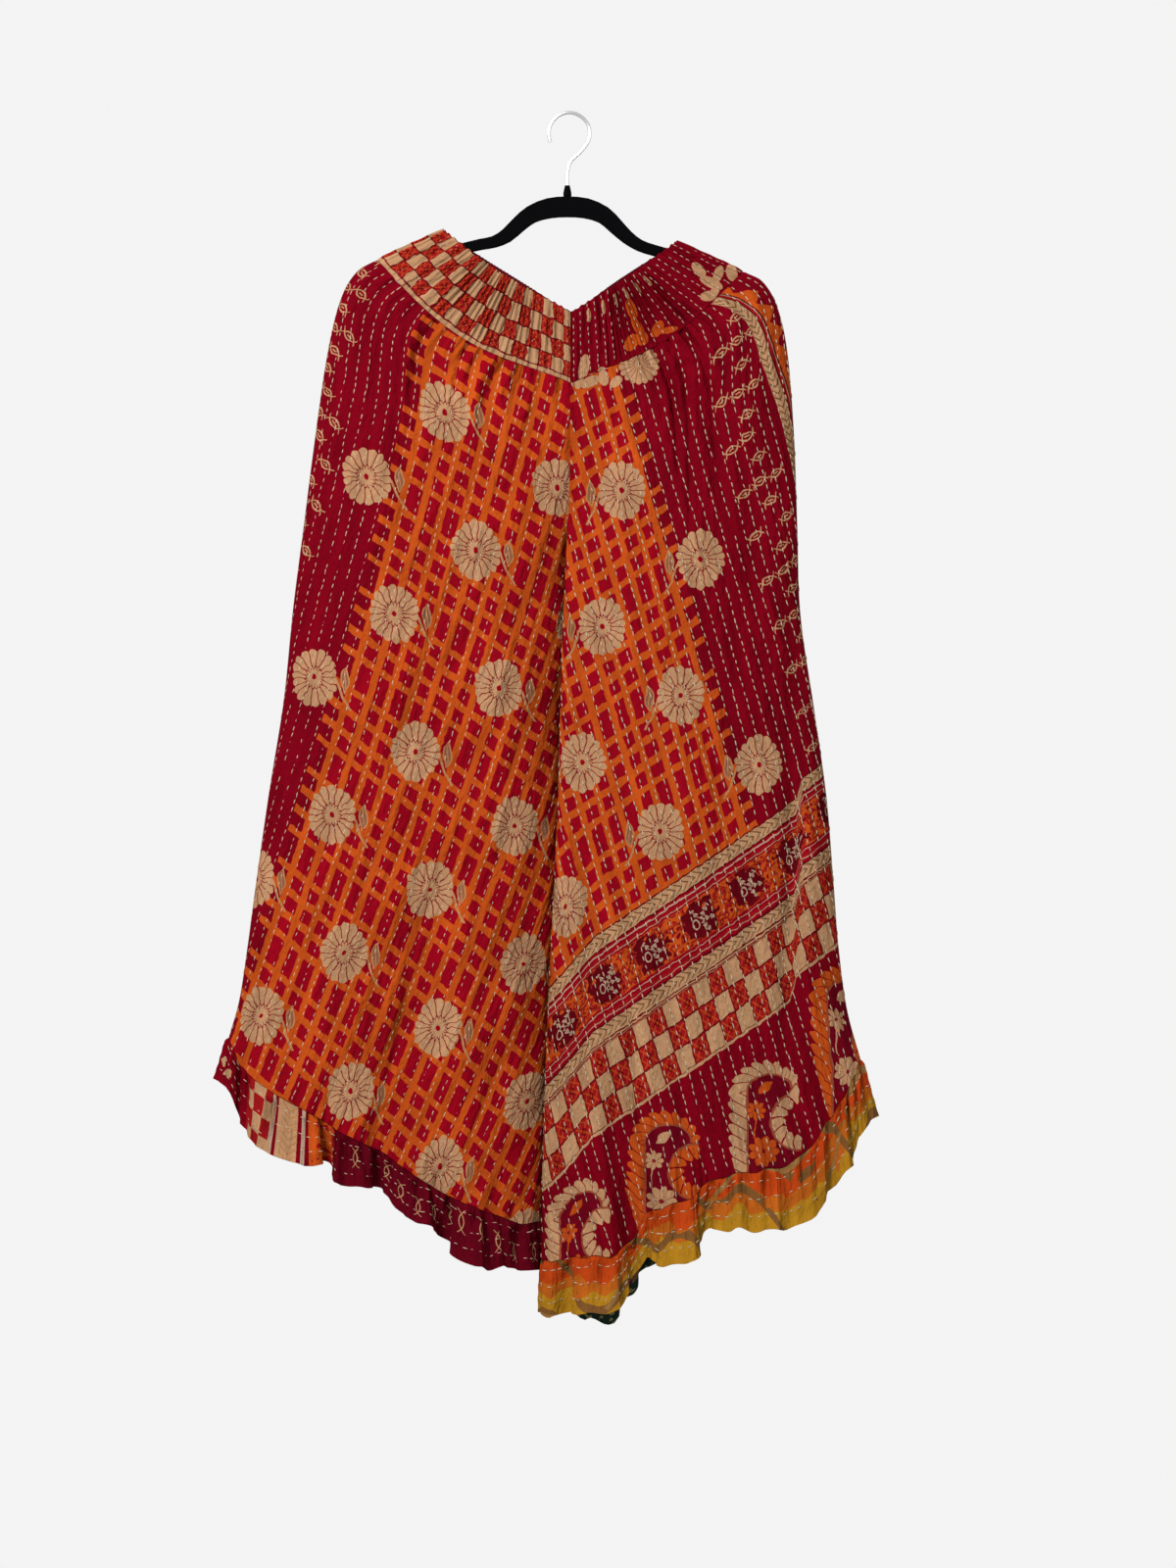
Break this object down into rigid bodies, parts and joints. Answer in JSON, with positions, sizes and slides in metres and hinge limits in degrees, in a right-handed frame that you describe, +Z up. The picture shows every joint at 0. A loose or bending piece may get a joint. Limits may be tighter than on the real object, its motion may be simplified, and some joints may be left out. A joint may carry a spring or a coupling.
{
  "type": "ruffle capri pants on a hanger",
  "caption": "Wide-leg capri pants of hand-quilted printed cotton with a gathered elastic waistband and ruffled hems, hung on a slim flocked hanger.",
  "frame": {"origin": "underside of the hook's bend, where the hanger rests on its rail", "axes": "+Z up, +X to the viewer's right across the front, +Y from the front to the back"},
  "size_m": [0.6396, 0.1156, 1.182],
  "materials": {
    "check_cotton": "matte hand-quilted cotton, beige and red checks",
    "crimson_cotton": "matte hand-quilted cotton, crimson",
    "lattice_cotton": "matte hand-quilted cotton, crimson and orange lattice with beige flowers",
    "border_cotton": "matte hand-quilted cotton, crimson with a printed border",
    "yellow_cotton": "matte hand-quilted cotton, orange to yellow",
    "black_flock": "velvet flocking",
    "steel_wire": "polished"
  },
  "bodies": {
    "root": {"waistband_right": "check_cotton", "waistband_left": "crimson_cotton", "front_right": "lattice_cotton", "front_left": "border_cotton", "back_right": "lattice_cotton", "back_left": "border_cotton", "ruffle_right": "crimson_cotton", "ruffle_left": "yellow_cotton", "hanger_body": "black_flock", "hanger_ferrule": "black_flock", "hanger_hook": "steel_wire"}
  },
  "joints": []
}
